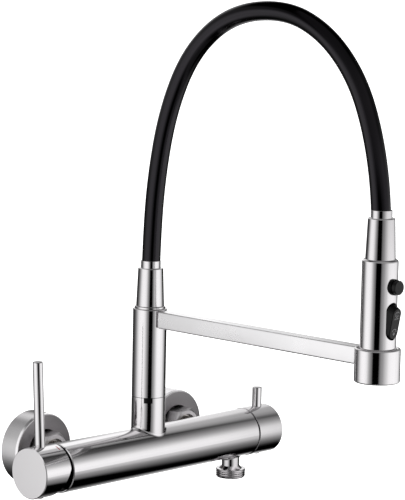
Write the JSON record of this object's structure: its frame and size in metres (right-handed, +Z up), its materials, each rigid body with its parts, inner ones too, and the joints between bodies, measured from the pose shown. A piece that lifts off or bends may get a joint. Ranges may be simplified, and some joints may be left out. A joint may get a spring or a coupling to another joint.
{
  "type": "pre rinse faucet",
  "caption": "Wall-mounted bar mixer with swivelling riser, docking arm, hose-fed pull-out spray head and a second threaded outlet with diverter",
  "frame": {"origin": "on the wall plane, midway between the two wall threads, at the height of the bar's axis", "axes": "+X along the bar to the right as seen from the user, +Y into the wall, +Z up; millimetres in the source, metres in the row"},
  "size_m": [0.2839, 0.3675, 0.4236],
  "materials": {
    "brushed_steel": "brushed",
    "polished_steel": "polished",
    "brass": "machined",
    "black_plastic": "satin",
    "control_plastic": "satin",
    "rubber": "matt",
    "hose_black": "satin",
    "hose_inner": "smooth",
    "ceramic": "lapped",
    "screw_steel": "plain",
    "hot_red": "gloss"
  },
  "bodies": {
    "mixer_body": {"mixer_body": "brushed_steel", "wall_flange_left": "brushed_steel", "wall_flange_right": "brushed_steel", "eccentric_union_left": "brass", "eccentric_union_right": "brass", "union_nut_left": "brushed_steel", "union_nut_right": "brushed_steel", "inlet_seats": "brushed_steel", "inlet_seals": "rubber", "check_valves": "black_plastic", "outlet_nipple": "polished_steel", "swivel_collar": "brushed_steel", "swivel_bush": "black_plastic", "swivel_screw": "screw_steel", "mixing_cartridge": "black_plastic", "cartridge_nut": "brass", "fixed_disc": "ceramic", "diverter_headwork": "brass"},
    "mixing_carrier": {"cartridge_carrier": "black_plastic", "carrier_pin": "screw_steel"},
    "disc_slider": {"moving_disc": "ceramic"},
    "mixing_handle": {"mixing_lever_cap": "brushed_steel", "mixing_lever_pin": "polished_steel", "mixing_lever_screw": "screw_steel", "mixing_lever_plug": "screw_steel", "hot_index": "hot_red", "mixing_stem": "brass"},
    "diverter_handle": {"diverter_cap": "brushed_steel", "diverter_pin": "polished_steel", "diverter_screw": "screw_steel", "diverter_plug": "screw_steel", "diverter_spindle": "brass"},
    "column": {"column_spigot": "brass", "swivel_orings": "rubber", "riser_tube": "brushed_steel", "lower_connector": "brass", "shoulder_ring": "brushed_steel", "lower_hose_cone": "brushed_steel", "lower_ferrule": "brushed_steel", "arm": "brushed_steel", "dock_ring": "polished_steel", "dock_liner": "black_plastic", "hose_jacket": "hose_black", "hose_liner": "hose_inner"},
    "hose_end": {"upper_hose_cone": "brushed_steel", "upper_ferrule": "brushed_steel", "head_connector": "brass", "connector_oring": "rubber"},
    "spray_head": {"head_shell": "brushed_steel", "head_core": "black_plastic", "connector_clip": "screw_steel", "nozzle_housing": "black_plastic", "spray_face": "rubber", "aerator": "black_plastic", "button_bellows": "rubber", "button_spring": "screw_steel", "rocker_pin": "screw_steel"},
    "pause_button": {"pause_button": "control_plastic"},
    "spray_rocker": {"spray_rocker": "control_plastic"},
    "spray_spool": {"spray_spool": "black_plastic"}
  },
  "joints": [
    {"name": "mix_turn", "type": "hinge", "parent": "mixer_body", "child": "mixing_carrier", "pos_m": [-0.113, -0.0785, 0], "axis": [1, 0, 0], "range_deg": [-45, 45]},
    {"name": "flow_lift", "type": "hinge", "parent": "mixing_carrier", "child": "mixing_handle", "pos_m": [-0.113, -0.0785, 0], "axis": [0, -1, 0], "range_deg": [0, 20]},
    {"name": "disc_shift", "type": "slide", "parent": "mixing_carrier", "child": "disc_slider", "axis": [0, 0, 1], "range_m": [0, 0.0032]},
    {"name": "diverter_turn", "type": "hinge", "parent": "mixer_body", "child": "diverter_handle", "pos_m": [0.1184, -0.0785, 0], "axis": [1, 0, 0], "range_deg": [0, 90]},
    {"name": "column_swivel", "type": "hinge", "parent": "mixer_body", "child": "column", "pos_m": [-0.0154, -0.0785, 0.0318], "axis": [0, 0, 1], "range_deg": [-75, 75]},
    {"name": "head_lift", "type": "slide", "parent": "column", "child": "hose_end", "axis": [0, 0, 1], "range_m": [0, 0.045], "deforming": ["hose_jacket", "hose_liner"]},
    {"name": "head_spin", "type": "hinge", "parent": "hose_end", "child": "spray_head", "pos_m": [-0.0154, -0.3275, 0.185], "axis": [0, 0, 1], "continuous": true},
    {"name": "pause_press", "type": "slide", "parent": "spray_head", "child": "pause_button", "axis": [0, 1, 0], "range_m": [0, 0.0025], "stiffness_N_per_m": 800, "springref_m": -0.001, "deforming": ["button_spring"]},
    {"name": "spray_rock", "type": "hinge", "parent": "spray_head", "child": "spray_rocker", "pos_m": [-0.0154, -0.3365, 0.1447], "axis": [-1, 0, 0], "range_deg": [0, 13]},
    {"name": "spool_shift", "type": "slide", "parent": "spray_head", "child": "spray_spool", "axis": [0, 0, -1], "range_m": [0, 0.0014]}
  ],
  "couplings": [
    {"joint": "disc_shift", "follows": "flow_lift", "m_per_rad": 0.0088},
    {"joint": "spool_shift", "follows": "spray_rock", "m_per_rad": 0.006}
  ]
}
